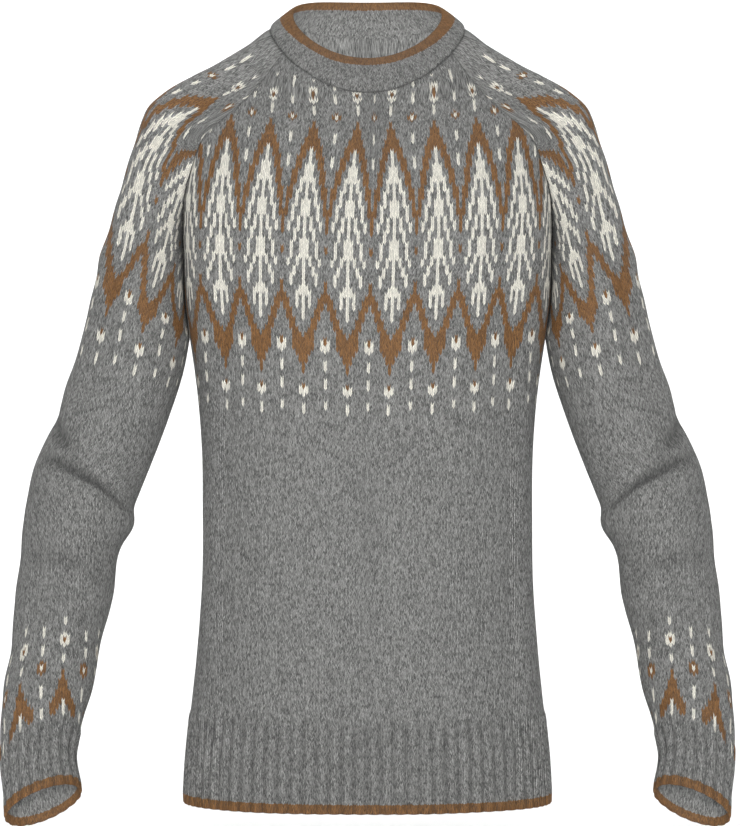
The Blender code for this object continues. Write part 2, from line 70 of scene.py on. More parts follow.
# Middle line of the yoke: front y, z and level reach, back y, z and level reach
yokeMiddles = np.array([
    (-131.5, -268, 111.9, 116.5, -268, 111.9),
    (-133, -237, 113, 119.5, -237, 113),
    (-132, -200, 112, 120, -199, 112),
    (-129.5, -167, 112, 119, -165, 108),
    (-126, -140, 110, 117, -135, 103),
    (-122, -117.5, 104, 114, -108, 97),
    (-119, -104.5, 96, 112, -93, 92),
    (-116.4, -94, 89, 110, -80, 87),
    (-114, -85.5, 82, 108, -68, 82),
    (-111.8, -78.5, 75, 106, -58, 77),
    (-108.2, -69, 62, 101, -40, 66),
    (-104.6, -60.5, 50, 95, -20, 54),
])

# Raglan seams: the point, how the panel leaves it, and how the sleeve leaves it
frontRaglan = np.array([
    (165.5, 5, -268, 0, -92, 0, 0, -79, 0),
    (168.6, -11, -237, 0, -82, 0, 8, -71, 0),
    (169.3, -32, -200, 0, -68, 0, 20, -60, 0),
    (169.6, -52, -166.2, -8, -52, 0, 34, -38, 0),
    (167.3, -66, -137.2, -17, -41, 0, 42, -16, 0),
    (160.5, -74, -112.5, -24, -32, 0, 42, 2, 0),
    (155.9, -77, -98.6, -30, -27, 0, 38, 12, 1),
    (150.4, -79, -86.9, -33, -23, -1, 34, 19, 2),
    (140.6, -79, -76.5, -34, -20, -2, 32, 22, 4),
    (132.6, -78, -69, -34, -19, -3, 30, 22, 6),
    (117.5, -74, -56, -31, -20, -6, 24, 22, 9),
    (103.4, -68, -42, -26, -21, -9, 18, 20, 10),
])
backRaglan = np.array([
    (165.5, 5, -268, 0, 76, 0, 0, 79, 0),
    (168.6, 21, -237, 0, 66, 0, 8, 71, 0),
    (168.5, 42, -200, 0, 53, 0, 20, 56, 0),
    (166, 62, -166, -6, 42, 0, 32, 34, 0),
    (160, 78, -136, -14, 30, 0, 38, 12, 0),
    (152, 87, -110, -22, 22, 0, 38, -4, 0),
    (147, 90, -95, -27, 19, 0, 35, -11, 0),
    (141, 91, -82, -30, 16, 0, 32, -15, 0),
    (134, 90, -70, -31, 15, 0, 30, -17, 0),
    (127, 87, -59, -31, 15, 0, 29, -19, -1),
    (113, 78, -36, -30, 17, 0, 24, -20, -2),
    (98, 66, -12, -26, 20, 0, 18, -18, -2),
])

# Top line of the sleeve in the yoke: the point, and its level reach to the front and back
shoulderRidge = np.array([
    (259.6, 4, -241, 79, 79),
    (253.6, 4, -213, 77, 77),
    (246.4, 3, -186, 73, 74),
    (237.4, 2, -158.1, 66, 68),
    (229.2, 1, -128.4, 60, 62),
    (221.8, 0, -102.3, 54, 57),
    (216.2, -1, -87.4, 50, 54),
    (210.6, -2, -71.6, 46, 50),
    (202.3, -3, -52.6, 42, 46),
    (190.2, -4, -40.5, 38, 42),
    (162.3, -6, -24.6, 30, 34),
    (135.3, -8, -11, 24, 28),
])

# Sleeve below the underarm: ring centre, half width, half depth, roll and forward pitch
sleeveRings = np.array([
    (291.2, -140, -688.6, 36.6, 30, 24, 31),
    (296, -123, -657.7, 34.4, 31, 22, 31),
    (295.8, -105, -630.1, 37, 33, 16.2, 32),
    (290.9, -79, -588.3, 41.1, 38, 8.9, 30),
    (285.3, -54, -545.9, 40.8, 43, 2, 28),
    (279.1, -32, -502.7, 44.6, 47, -4, 25),
    (273, -13, -450, 46.8, 50, -8, 21),
    (267.4, -8, -434, 51.1, 51, -7, 18),
    (266, -3, -420, 49.6, 52, -8, 16),
    (261, 5, -400, 50.1, 54, -14, 11),
    (248.8, 9, -370.2, 49.4, 55, -20, 7),
    (232.3, 10, -325.5, 49.8, 57, -17.5, 4),
    (218.2, 8, -281.9, 49.6, 58.5, -16.5, 2),
])


def unit(v):
    return v / np.maximum(np.linalg.norm(v, axis=-1, keepdims=True), 1e-9)


# Cubic curve through the knots, whose slope at a knot is the mean of its two
# neighbours' slopes, each weighted by the other's length
def through(knots, rows, at):
    knots, rows = np.asarray(knots, float), np.asarray(rows, float)
    step = np.diff(knots)
    slope = np.diff(rows, axis=0) / step[:, None]
    bend = np.empty_like(rows)
    bend[0], bend[-1] = slope[0], slope[-1]
    before, after = step[:-1, None], step[1:, None]
    bend[1:-1] = (slope[1:] * before + slope[:-1] * after) / (before + after)
    i = np.clip(np.searchsorted(knots, at, side="right") - 1, 0, len(step) - 1)
    t, h = ((at - knots[i]) / step[i])[:, None], step[i][:, None]
    return (rows[i] * (1 + 2 * t) * (1 - t) ** 2 + bend[i] * h * t * (1 - t) ** 2
            + rows[i + 1] * t * t * (3 - 2 * t) + bend[i + 1] * h * t * t * (t - 1))


# One value read from a short table of (place, value) rows
def ease(table, at):
    table = np.array(table)
    flat = np.ravel(at)
    inside = np.clip(flat, table[0, 0], table[-1, 0])
    return through(table[:, 0], table[:, 1:], inside)[:, 0].reshape(np.shape(at))


# Ring of the neck: an ellipse seen from above, lifted by half a cosine to the
# back and by a squared sine at the sides
def ringPoints(ring, a):
    lift = ring["backLift"] * (1 - np.cos(a)) / 2 + ring["sideLift"] * np.sin(a) ** 2
    return np.stack([ring["halfWidth"] * np.sin(a), ring["centreY"] - ring["depth"] * np.cos(a),
                     ring["frontZ"] + lift], axis=-1)


# Neck seam at an angle from the front, and the speed of the same formula
def neckRing(angle):
    a = math.radians(angle)
    speed = np.array([
        neck["halfWidth"] * math.cos(a),
        neck["depth"] * math.sin(a),
        neck["backLift"] * math.sin(a) / 2 + neck["sideLift"] * math.sin(2 * a),
    ])
    return ringPoints(neck, a), speed


def neckArc(start, end):
    (a, aSpeed), (b, bSpeed) = neckRing(start), neckRing(end)
    third = math.radians(end - start) / 3
    return np.array([a, a + aSpeed * third, b - bSpeed * third, b])


# Half the seam's gap, along the mean of the ways out of the seam
def seamSplit(seam):
    way = unit(unit(-seam[3:6]) + unit(seam[6:9]) + np.array([cloth["outwardPull"], 0.0, 0.0]))
    return way * cloth["gap"] / 2


def neckSplit(front):
    speed = neckRing(neck["frontSeam"] if front else neck["backSeam"])[1]
    return unit(speed) * cloth["gap"] / 2 * (1 if front else -1)


# The hem rises by lift at the sides, and the cloth not at all above the height top
hem = {"lift": 2.0, "top": -560.0}


# Control rows of a panel: seven points from its -X edge to its +X edge
def panelRows(front):
    sideGap = np.array([0.0, -1.0 if front else 1.0, 0.0]) * cloth["gap"] / 2
    square = cloth["squareness"]
    rows = []
    for z, halfWidth, sideY, frontY, backY in bodySections:
        deep = frontY if front else backY
        lift = hem["lift"] * max(0.0, (hem["top"] - z) / (hem["top"] - bodySections[0, 0]))
        middle, edge = np.array([0.0, deep, z]), np.array([halfWidth, sideY, z + lift]) + sideGap
        rows.append([middle, middle + [halfWidth * square, 0.0, 0.0],
                     edge + [0.0, (deep - sideY) * square, 0.0], edge])
    for i, (m, seam) in enumerate(zip(yokeMiddles, frontRaglan if front else backRaglan)):
        y, z, level = m[:3] if front else m[3:]
        middle = np.array([0.0, y, z])
        edge = seam[:3] - seamSplit(seam) + (sideGap if i == 0 else 0.0)
        rows.append([middle, middle + [level, 0.0, 0.0], edge + seam[3:6], edge])
    arc = neckArc(0.0, neck["frontSeam"]) if front else neckArc(180.0, neck["backSeam"])
    arc[2:] -= neckSplit(front)
    rows.append(list(arc))
    right = np.array(rows)
    left = right[:, :0:-1] * [-1.0, 1.0, 1.0]
    return np.concatenate([left, right], axis=1)


# Control rows of a sleeve: seven points from the underarm round the front,
# over the outer side and back, and from raglan to raglan in the yoke
def sleeveRows():
    rows = []
    for x, y, z, halfWidth, halfDepth, roll, pitch in sleeveRings:
        r, p = math.radians(roll), math.radians(pitch)
        inward = np.array([-math.cos(r), 0.0, math.sin(r)]) * halfWidth
        back = np.array([-math.sin(r) * math.sin(p), math.cos(p), -math.cos(r) * math.sin(p)])
        back = back * halfDepth * 4 / 3
        inner, outer = np.array([x, y, z]) + inward, np.array([x, y, z]) - inward
        rows.append([inner, inner - back, outer - back, outer, outer + back, inner + back, inner])
    for i, (f, t, b) in enumerate(zip(frontRaglan, shoulderRidge, backRaglan)):
        first = f[:3] + seamSplit(f)
        last = first if i == 0 else b[:3] + seamSplit(b)
        top = t[:3]
        rows.append([first, first + f[6:9], top - [0.0, t[3], 0.0], top,
                     top + [0.0, t[4], 0.0], last + b[6:9], last])
    frontArc, backArc = neckArc(neck["frontSeam"], 90.0), neckArc(90.0, neck["backSeam"])
    frontArc[:2] += neckSplit(True)
    backArc[2:] += neckSplit(False)
    rows.append([*frontArc, *backArc[1:]])
    return np.array(rows)


# Run of each yoke section above the underarm, the mean of three lines
def findYokeKnots():
    ends = [neckRing(angle)[0] for angle in (neck["frontSeam"], 90.0, neck["backSeam"])]
    tables = (frontRaglan, shoulderRidge, backRaglan)
    lines = [np.vstack([table[:, :3], end]) for table, end in zip(tables, ends)]
    steps = [np.linalg.norm(np.diff(line, axis=0), axis=1) for line in lines]
    return np.concatenate([[0.0], np.cumsum(np.mean(steps, axis=0))])


yokeKnots = findYokeKnots()
dense = np.linspace(0.0, 1.0, 161)[:, None]  # steps of a Bezier arc, and their weights
bernstein = np.hstack([(1 - dense) ** 3, 3 * dense * (1 - dense) ** 2,
                       3 * dense**2 * (1 - dense), dense**3])


# A surface is its control rows, carried along a run in mm from the hem or cuff
def makeSurface(rows, lines):
    low = rows[: len(rows) - len(yokeKnots) + 1]
    step = np.linalg.norm(np.diff(low[:, lines].mean(axis=1), axis=0), axis=1)
    lowKnots = np.concatenate([[0.0], np.cumsum(step)])
    return {
        "lowKnots": lowKnots, "low": low.reshape(len(low), -1),
        "yoke": rows[len(low) - 1:].reshape(len(yokeKnots), -1),
        "underarm": lowKnots[-1], "length": lowKnots[-1] + yokeKnots[-1],
    }


# Grid of points: for each run, two Bezier arcs share their middle point and
# are walked at even shares of their whole length. Returns points and lengths
def gridPoints(surface, runs, shares):
    low = through(surface["lowKnots"], surface["low"], np.minimum(runs, surface["underarm"]))
    high = through(yokeKnots, surface["yoke"], np.maximum(runs - surface["underarm"], 0.0))
    rows = np.where((runs <= surface["underarm"])[:, None], low, high).reshape(len(runs), 7, 3)
    first = np.einsum("tk,nkc->ntc", bernstein, rows[:, :4])
    second = np.einsum("tk,nkc->ntc", bernstein, rows[:, 3:])
    line = np.concatenate([first, second[:, 1:]], axis=1)
    along = np.cumsum(np.linalg.norm(np.diff(line, axis=1), axis=2), axis=1)
    length = along[:, -1]
    place = np.concatenate([np.zeros((len(runs), 1)), along / length[:, None]], axis=1)
    number = np.arange(len(runs))[:, None] * 2.0
    wanted = (shares[None, :] + number).ravel()
    points = [np.interp(wanted, (place + number).ravel(), line[..., k].ravel()) for k in range(3)]
    return np.stack(points, axis=1).reshape(len(runs), len(shares), 3), length


# Directions out of the cloth: the cross product of steps across and along
def gridNormals(surface, runs, shares, outward):
    stepRun, stepShare = 1.0, 0.004
    high, _ = gridPoints(surface, np.minimum(runs + stepRun, surface["length"]), shares)
    low, _ = gridPoints(surface, np.maximum(runs - stepRun, 0.0), shares)
    right, _ = gridPoints(surface, runs, np.minimum(shares + stepShare, 1.0))
    left, _ = gridPoints(surface, runs, np.maximum(shares - stepShare, 0.0))
    return unit(np.cross(right - left, high - low)) * outward


# furrowShade: how much painted shade darkens the colour in the rib furrows
ribLook = {
    "rise": 2.3, "sink": 0.4, "flatness": 0.6, "furrowShade": 0.8,
    "fadeFrom": 4.0, "fadeOver": 10.0,  # above the band
    "edgeShare": 0.4, "edgeOver": 9.0,  # at the cut edge
    "margin": 7.0,  # how far the fine columns go above the band
}


# Raised cosine ribs whose crests are flattened, fading out above the band and
# lower at the cut edge. Their furrows are also kept as a painted shade from 0 to 1
def ribHeight(runs, shares, band):
    wave = 0.5 - 0.5 * np.cos(2 * np.pi * shares * band["ribs"])
    crest = wave ** ribLook["flatness"]
    fade = np.clip((band["height"] + ribLook["fadeFrom"] - runs) / ribLook["fadeOver"], 0.0, 1.0)
    fade = fade * fade * (3 - 2 * fade)
    edge = ribLook["edgeShare"]
    low = np.clip(runs / ribLook["edgeOver"], 0.0, 1.0) * (1 - edge) + edge
    height = ribLook["rise"] * (fade * low)[:, None] * (crest[None, :] - ribLook["sink"])
    return height, ribLook["furrowShade"] * fade[:, None] * (1 - crest)[None, :]


# A crease is a trough whose line runs between two places and fades at its ends
def creaseHeight(runs, shares, creases):
    total = np.zeros((len(runs), len(shares)))
    for start, end, startRun, endRun, depth, width, sag in creases:
        t = np.clip((shares - start) / (end - start), 0.0, 1.0)
        middle = startRun + (endRun - startRun) * t - sag * np.sin(np.pi * t)
        fade = np.sin(np.pi * t) ** 0.8
        away = (runs[:, None] - middle[None, :]) / width
        total -= depth * fade[None, :] * np.exp(-away * away)
    return total


# Slow swells of the cloth, a sum of a few long sine waves
def swell(runs, shares, waves):
    total = np.zeros((len(runs), len(shares)))
    for size, perRun, perShare, turn in waves:
        total += size * np.sin(2 * np.pi * (runs[:, None] / perRun + shares[None, :] * perShare) + turn)
    return total


# Distance to the nearer edge across the piece, in mm
def edgeDistance(length, shares):
    return np.minimum(shares, 1 - shares)[None, :] * length[:, None]


# Triangles between a fine row and a coarse row with the same ends
def stitchRows(fine, coarse):
    ratio = (len(fine) - 1) // (len(coarse) - 1)
    n = np.arange(len(fine) - 1)
    cell, half = n // ratio, (n % ratio) >= (ratio + 1) // 2
    turn = fine[np.arange(len(coarse) - 1) * ratio + (ratio + 1) // 2]
    a = np.stack([fine[:-1], fine[1:], coarse[cell + half]], axis=1)
    b = np.stack([turn, coarse[1:], coarse[:-1]], axis=1)
    return np.vstack([a, b])


def quadGrid(ids):
    return np.stack([ids[:-1, :-1], ids[:-1, 1:], ids[1:, 1:], ids[1:, :-1]], axis=-1).reshape(-1, 4)


# Makes a mesh from points in mm, where weld gives the point that each one is
# merged with, stitch the UV of each point, and marks a value of each point
def makePiece(name, points, faces, weld, stitch, marks, side=1.0):
    keep, final = np.unique(weld, return_inverse=True)
    place = points[keep] * [side * mm, mm, mm]
    mesh = bpy.data.meshes.new(name)
    mesh.from_pydata(place.tolist(), [], [face for part in faces for face in final[part].tolist()])
    corners = np.concatenate([part.ravel() for part in faces])
    uv = mesh.uv_layers.new(name="stitches")
    uv.data.foreach_set("uv", stitch[corners].astype(np.float32).ravel())
    for key, values in marks.items():
        mark = mesh.attributes.new(key, "FLOAT", "POINT")
        mark.data.foreach_set("value", values.ravel()[keep].astype(np.float32))
    work = bmesh.new()
    work.from_mesh(mesh)
    bmesh.ops.recalc_face_normals(work, faces=work.faces)
    work.to_mesh(mesh)
    work.free()
    mesh.shade_smooth()
    piece = bpy.data.objects.new(name, mesh)
    bpy.context.scene.collection.objects.link(piece)
    return piece


# Outer rows, a round lip and inner rows of a panel or sleeve as one closed wall
def makeWall(name, plan, side=1.0):
    surface, band = plan["surface"], plan["band"]
    bandTop = band["height"] + ribLook["margin"]
    ribCount = max(2 * round(band["height"] / plan["step"] / 2), 2)
    bandRuns = np.linspace(0.0, bandTop, ribCount + 1)[:-1]
    upperCount = 2 * round((surface["length"] - bandRuns[-1]) / plan["step"] / 2)
    upperRuns = np.linspace(bandTop, surface["length"], upperCount + 1)
    runs = np.concatenate([bandRuns, upperRuns])
    fineShares = np.linspace(0.0, 1.0, plan["fineColumns"] + 1)
    shares = np.linspace(0.0, 1.0, plan["columns"] + 1)
    innerShares = np.linspace(0.0, 1.0, plan["columns"] // 2 + 1)
    blocks = []

    def block(atRuns, atShares, inside):
        points, length = gridPoints(surface, atRuns, atShares)
        normals = gridNormals(surface, atRuns, atShares, plan["outward"])
        out, shade = clothHeight(plan, atRuns, atShares, length, inside)
        start = sum(b["points"].shape[0] * b["points"].shape[1] for b in blocks)
        ids = start + np.arange(len(atRuns) * len(atShares)).reshape(len(atRuns), len(atShares))
        made = {"points": points + normals * out[..., None], "normals": normals, "ids": ids}
        wales, rows = plan["stitches"](atRuns, atShares, length)
        if inside:
            wales, rows = wales + 0.5, rows + offChart["inside"]
        made["stitch"] = np.stack([wales, rows], axis=-1)
        made["edge"] = np.repeat(atRuns[:, None] / cloth["rowHeight"], len(atShares), axis=1)
        made["shade"] = shade
        blocks.append(made)
        return made

    lower = block(bandRuns, fineShares, False)
    upper = block(upperRuns, shares, False)
    inner = block(runs[::2], innerShares, True)

    # The lip is half a circle from the outer edge to the inner one
    lipSteps = 5
    innerEdge, _ = gridPoints(surface, runs[:1], fineShares)
    innerEdge = innerEdge[0] - lower["normals"][0] * cloth["wall"]
    outerEdge = lower["points"][0]
    down = unit(outerEdge - lower["points"][1])
    turn = np.radians(np.arange(1, lipSteps) * 180.0 / lipSteps)[:, None, None]
    mid, half = (outerEdge + innerEdge) / 2, (outerEdge - innerEdge) / 2
    size = np.linalg.norm(half, axis=1, keepdims=True)
    lipPoints = mid + half * np.cos(turn) + down * size * np.sin(turn)
    start = inner["ids"][-1, -1] + 1
    lipIds = start + np.arange(lipPoints.shape[0] * len(fineShares)).reshape(-1, len(fineShares))
    lip = {"points": lipPoints, "ids": lipIds, "edge": np.zeros(lipIds.shape)}
    lip["shade"] = np.repeat(lower["shade"][:1], len(lipIds), axis=0)
    lip["stitch"] = np.repeat(lower["stitch"][:1], len(lipIds), axis=0)
    blocks.append(lip)

    outerEdges = [np.concatenate([lower["ids"][:, end], upper["ids"][:, end]]) for end in (0, -1)]
    innerEdges = [inner["ids"][:, end] for end in (0, -1)]
    lipRows = np.vstack([lower["ids"][:1], lipIds])
    quads = np.vstack([quadGrid(ids) for ids in (lower["ids"], upper["ids"], inner["ids"], lipRows)])
    triangles = [
        stitchRows(lower["ids"][-1], upper["ids"][0]),
        stitchRows(upper["ids"][-1], inner["ids"][-1]),
        stitchRows(lipIds[-1], inner["ids"][0]),
    ]
    count = lipIds[-1, -1] + 1
    weld = np.arange(count)
    if plan["tube"]:
        # Below the underarm the last column is the first, above it the seams are open
        closed = runs <= surface["underarm"] + 0.01
        first, last = outerEdges
        weld[last[closed]] = first[closed]
        weld[innerEdges[1][closed[::2]]] = innerEdges[0][closed[::2]]
        weld[lipIds[:, -1]] = lipIds[:, 0]
        split = int(np.flatnonzero(closed)[-1]) // 2 * 2
        outerEdges = [edge[split:] for edge in outerEdges]
        innerEdges = [edge[split // 2:] for edge in innerEdges]
    else:
        # The ends of a panel's lip are closed by fans of triangles
        for end in (0, -1):
            fan = np.concatenate([[lower["ids"][0, end]], lipIds[:, end], [inner["ids"][0, end]]])
            triangles.append(np.stack([np.full(len(fan) - 2, fan[0]), fan[1:-1], fan[2:]], axis=1))
    triangles += [stitchRows(o, i) for o, i in zip(outerEdges, innerEdges)]
    triangles = np.vstack(triangles)
    t = weld[triangles]
    triangles = triangles[(t[:, 0] != t[:, 1]) & (t[:, 1] != t[:, 2]) & (t[:, 2] != t[:, 0])]
    flat = {key: np.concatenate([b[key].reshape(-1, width) for b in blocks])
            for key, width in (("points", 3), ("stitch", 2), ("edge", 1), ("shade", 1))}
    marks = {"edgeRows": flat["edge"], "shade": flat["shade"]}
    piece = makePiece(name, flat["points"], [quads, triangles], weld, flat["stitch"], marks, side)
    along, across = np.diff(upper["points"], axis=0)[:, :-1], np.diff(upper["points"], axis=1)[:-1]
    area = np.linalg.norm(np.cross(along, across), axis=2).sum() * mm * mm
    print("made", name, len(piece.data.polygons), "faces, outer area above the band", round(area, 4), "m2")
    return piece


# How the body is charted. A table gives a value at each run from the hem: rows
# count down from the neck, a row tilts up towards the sides, wide is less where
# wales widen, and lean is the way in mm that the middle moves to +X
bodyYarn = {
    "rows": [(0, 293), (102, 248), (192, 208), (284, 168), (374, 128), (420, 108), (466, 88),
             (512, 68), (564, 48), (620, 28), (676, 16), (736, 8), (764, 4), (800, -8),
             (860, -30)],
    "tilt": [(0, 0.02), (300, 0.045), (384, 0.055), (430, 0.075), (560, 0.05), (668, 0), (700, -0.2),
             (722, -0.5), (739, -0.42), (764, -0.42)],
    "wide": [(0, 1), (590, 1), (620, 1), (640, 0.99), (700, 0.965), (764, 0.9)],
    "pinch": [(0, 0.1), (380, 0.2), (450, 0), (560, 0), (668, 0.85), (764, 0.85)],  # crowding at the middle
    "stretch": [(0, 1), (430, 1), (500, 0.6), (560, 0.3), (620, 0), (764, 0)],  # widening at the sides
    "lean": [(0, 0), (374, 0.4), (398, 0.8), (512, 3.2), (560, 4.3), (668, 6.1), (764, 6.5)],
    "stitchWidth": 2.86, "pinchReach": 8.0, "edgeFrom": 140.0, "edgeShare": 0.38, "tiltReach": 25.0,
}


# Wale and row of each point of a panel. A wale is the way along the cloth from
# the leaning middle over a stitch's width, and rows rise towards the sides
def bodyStitches(surface, lean):
    def stitches(runs, shares, length):
        yarn, at = bodyYarn, (runs - surface["underarm"] + frontSurface["underarm"])[:, None]
        way = (shares[None, :] - 0.5) * length[:, None] - ease(yarn["lean"], at) * lean
        away = np.abs(way)
        pinch = yarn["pinchReach"] * ease(yarn["pinch"], at) * (1 - np.exp(-away / yarn["pinchReach"]))
        over = np.maximum(away - yarn["edgeFrom"], 0.0) * yarn["edgeShare"] * ease(yarn["stretch"], at)
        wide = np.sign(way) * (away + pinch - over) * ease(yarn["wide"], at)
        level = at - ease(yarn["tilt"], at) * away * away / (away + yarn["tiltReach"])
        return wide / yarn["stitchWidth"] + repeat / 2, ease(yarn["rows"], level)
    return stitches


# How a sleeve is charted, by the run from the cuff. Rows count down from the
# neck. They turn inside the axis, drop outside it, and lift beside the raglan seam
sleeveYarn = {
    "axis": [(0, -87), (64, -84.2), (164, -78.4), (300, -64), (450, -54), (478, -54), (541, -66),
             (579, -73), (627, -75), (667, -71), (690, -74), (710, -78), (731, -73), (757, -67),
             (810, -60)],  # mm from the top line
    "innerStitch": [(0, 3.18), (170, 3.18), (300, 3), (465, 2.82), (556, 2.72), (597, 2.75), (620, 2.9),
                    (642, 3.15), (662, 3.4), (690, 3), (810, 2.8)],  # mm
    "outerWales": [(0, 28), (200, 28), (420, 14), (810, 14)],  # stitches from the axis to the top line
    "rows": [(0, 304.9), (200, 227.7), (400, 146.3), (430, 134.5), (478, 118.5), (541, 98), (579.5, 86),
             (627, 68.2), (667, 52.2), (690, 38.8), (710, 29.9), (731, 19), (741, 13), (757, 5.5), (775, 0),
             (810, -10)],
    "turn": [(430, 0), (475, 0.05), (520, 0.17), (556, 0.21), (577, 0.23), (610, 0.2), (625, 0.18),
             (642, 0.31), (654, 0.2), (665, 0.04), (700, 0), (810, 0)],  # rows a mm
    "drop": [(560, 0), (597, 1), (636, 4), (668, 7), (686, 10), (696, 9.5), (706, 7), (719, 6), (740, 6),
             (757, 5), (810, 3)],  # rows
    "lift": [(500, 0), (560, 6), (587, 10), (630, 11), (648, 14), (662, 25), (668, 35.5), (690, 31),
             (700, 24), (712, 15), (734, 4.5), (760, 0), (810, 0)],  # rows
    "dropReach": 27.0, "seamReach": 18.0, "forearmTop": 300.0, "crowding": 0.35, "crowdReach": 15.0,
    "crowdOver": 120.0, "cuffDrop": 3.7, "cuffReach": 22.0, "cuffOver": 60.0, "cuffMost": 2.0,
}


# Wale and row of each point of a sleeve, the same on its front and its back.
# Outside the axis the stitches crowd on the upper arm, and the rows sag at the cuff
def sleeveStitches(runs, shares, length):
    yarn, at = sleeveYarn, runs[:, None]
    reach = -ease(yarn["axis"], at)
    way = reach - np.abs(shares[None, :] - 0.5) * length[:, None]
    crowding = yarn["crowding"] * np.clip((at - yarn["forearmTop"]) / yarn["crowdOver"], 0.0, 1.0)
    crowd = 1 + crowding * np.exp(-np.abs(way) / yarn["crowdReach"]) * (1 - way / reach)
    outer = way / reach * ease(yarn["outerWales"], at) * crowd
    wales = np.where(way < 0, way / ease(yarn["innerStitch"], at), outer)
    t = np.clip(way / yarn["dropReach"], 0.0, 1.0)
    rows = ease(yarn["rows"], at) + ease(yarn["turn"], at) * np.minimum(way, 0.0)
    rows = rows + ease(yarn["drop"], at) * t * t * (3 - 2 * t)
    sag = yarn["cuffDrop"] * np.clip((yarn["forearmTop"] - at) / yarn["cuffOver"], 0.0, 1.0)
    rows = rows - sag * np.clip(way / yarn["cuffReach"] - 1.0, 0.0, yarn["cuffMost"])
    near = edgeDistance(length, shares) / yarn["seamReach"]
    return wales, rows - ease(yarn["lift"], at) * np.exp(-near * near)


frontBand, backBand = {"height": 84.0, "ribs": 40}, {"height": 84.0, "ribs": 38}
cuffBand = {"height": 66.0, "ribs": 19}
# Swells: size, mm in a wave along the run, waves across the piece, and turn
bodySwells = [(0.5, 260, 1.3, 0.4), (0.35, 150, -2.1, 2), (0.25, 90, 3.4, 1.1)]
sleeveSwells = [(0.5, 120, 1, 0.7), (0.4, 70, -2, 2.6), (0.3, 46, 3, 0.2)]

# Elbow creases: first and last share round the sleeve, run at each, depth, width
# and sag. The second one is a fold that stands up. The troughs are also darkened with painted shade
sleeveCreases = [
    (0.08, 0.44, 296, 335, 5.5, 5.5, -7),
    (0.06, 0.38, 315, 352, -3, 9, -6),
    (0.24, 0.52, 334, 375, 4.5, 8, 0),
    (0.08, 0.40, 220, 238, 2, 9, 0),
]
# Painted shade beside a raglan seam, by the run above the underarm: deep and wide
# in the armpit fold, slight above it
seamShadeWidth = [(-500, 2.2), (-20, 3), (10, 6), (110, 6.5), (140, 2.4), (400, 2.2)]
seamShadeAmount = [(-500, 0.3), (-20, 0.4), (10, 2.3), (105, 2.3), (140, 0.5), (215, 0.2), (400, 0.2)]
# neckShade and creaseShade are painted shade that darkens the colour at the neck edge and in the creases
seamLook = {
    "reach": 2.2, "dip": 0.6, "sewnOver": 20.0, "neckReach": 2.6, "neckDip": 0.8, "neckShade": 0.6,
    "swellsFrom": 30.0, "creaseShadeDepth": 3.6, "creaseShade": 1.4,
}


# Painted shade beside the seams, darkest in the armpit fold
def seamShade(runs, near, surface):
    above = (runs - surface["underarm"])[:, None]
    return ease(seamShadeAmount, above) * np.exp(-(near / ease(seamShadeWidth, above)) ** 2)


# Height of the cloth over its surface, and its painted shade from 0: ribs, creases and
# slow swells, less a dip along the seams and one along the neck edge. The shade darkens
# the colour in the rib furrows, beside the seams, at the neck edge and in the creases
def clothHeight(plan, runs, shares, length, inside):
    surface, look = plan["surface"], seamLook
    creases = creaseHeight(runs, shares, plan["creases"])
    if inside:
        return creases - cloth["wall"], np.zeros(creases.shape)
    near = edgeDistance(length, shares)
    sewn = np.clip((runs - plan["sewnFrom"]) / look["sewnOver"], 0.0, 1.0)[:, None]
    seam = np.exp(-(near / look["reach"]) ** 2) * sewn
    toNeck = np.exp(-((surface["length"] - runs[:, None]) / look["neckReach"]) ** 2)
    ribs, paintedFurrowShade = ribHeight(runs, shares, plan["band"])
    waves = swell(runs, shares, plan["swells"]) * np.minimum(near / look["swellsFrom"], 1.0)
    paintedSeamShade = plan["seamShadeShare"] * seamShade(runs, near, surface) * sewn
    shade = np.maximum(paintedFurrowShade, np.maximum(paintedSeamShade, look["neckShade"] * toNeck))
    # Painted shade in the crease troughs, growing with their depth
    shade = np.maximum(shade, np.clip(-creases / look["creaseShadeDepth"], 0.0, look["creaseShade"]))
    return ribs + creases - look["dip"] * seam - look["neckDip"] * toNeck + waves, shade


frontSurface = makeSurface(panelRows(True), [3])
backSurface = makeSurface(panelRows(False), [3])
sleeveSurface = makeSurface(sleeveRows(), [0, 3])
# Plans: mm between rows, columns on the bands and above them, and the run from
# which the edges are sewn
frontPlan = {
    "surface": frontSurface, "band": frontBand, "stitches": bodyStitches(frontSurface, 1.0),
    "step": 2.7, "fineColumns": 480, "columns": 160, "tube": False, "outward": 1.0,
    "swells": bodySwells, "creases": [], "sewnFrom": -100.0, "seamShadeShare": 0.5,
}
backPlan = {
    **frontPlan, "surface": backSurface, "band": backBand, "stitches": bodyStitches(backSurface, 0.0),
    "fineColumns": 456, "columns": 152, "outward": -1.0,
}
sleevePlan = {
    "surface": sleeveSurface, "band": cuffBand, "stitches": sleeveStitches,
    "step": 2.5, "fineColumns": 304, "columns": 152, "tube": True, "outward": 1.0,
    "swells": sleeveSwells, "creases": sleeveCreases, "sewnFrom": sleeveSurface["underarm"], "seamShadeShare": 1.0,
}
front = makeWall("sweater_front", frontPlan)
back = makeWall("sweater_back", backPlan)
sleeveLeft = makeWall("sweater_sleeve_left", sleevePlan)
sleeveRight = makeWall("sweater_sleeve_right", sleevePlan, side=-1.0)

# Neck band: its section as share of the way up and share of the wall inwards
bandSection = [(0, 0.1), (0, -0.2), (0.05, -0.42), (0.16, -0.55), (0.35, -0.55), (0.65, -0.42),
               (0.86, -0.16), (0.96, 0.14), (1, 0.5), (0.97, 0.85), (0.85, 1), (0.5, 1.05), (0.2, 1),
               (0.02, 0.9), (-0.07, 0.74), (0, 0.66)]
bandPlan = {
    "columns": 528, "sectionSteps": 64, "wales": 182,
    "tallness": 10.0,  # the band's height over its thickness
    "tipShift": 3.2,  # mm from the crest to the middle of the brown rows
    "waves": [(0.35, 5, 0.6), (0.25, 9, 2.0)],  # size, waves round the neck and turn
}


